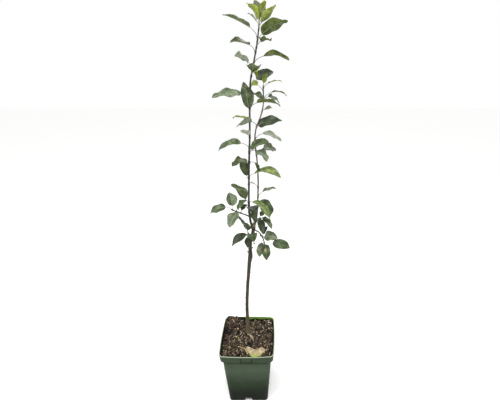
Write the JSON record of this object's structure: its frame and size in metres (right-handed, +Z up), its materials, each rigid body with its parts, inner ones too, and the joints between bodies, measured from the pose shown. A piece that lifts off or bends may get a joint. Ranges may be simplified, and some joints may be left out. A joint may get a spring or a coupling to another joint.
{
  "type": "dwarf apple tree in a pot",
  "caption": "Young grafted dwarf apple tree with a slim leader, a second stem and loose green leaves, growing in a deep square green nursery pot that stands on its flat base.",
  "frame": {"origin": "middle of the pot's underside, at floor level", "axes": "+Z up along the tree, -Y the front as seen in the picture, +X to the right"},
  "size_m": [0.2071, 0.1564, 1.0537],
  "materials": {
    "pot_plastic": "moulded satin",
    "potting_mix": "loose bark and peat",
    "bark": "living bark",
    "leaves": "living leaf",
    "dry_leaf": "dry leaf"
  },
  "bodies": {
    "root": {"pot": "pot_plastic", "potting_mix": "potting_mix", "fallen_leaf": "dry_leaf", "trunk": "bark", "leader": "bark", "second_stem": "bark", "left_bough": "bark", "right_bough": "bark", "leader_low_foliage": "leaves", "leader_middle_foliage": "leaves", "leader_upper_foliage": "leaves", "leader_top_foliage": "leaves", "second_stem_low_foliage": "leaves", "second_stem_middle_foliage": "leaves", "second_stem_top_foliage": "leaves", "left_foliage": "leaves", "right_foliage": "leaves", "trunk_spur_foliage": "leaves", "crotch_spur_foliage": "leaves"}
  },
  "joints": []
}
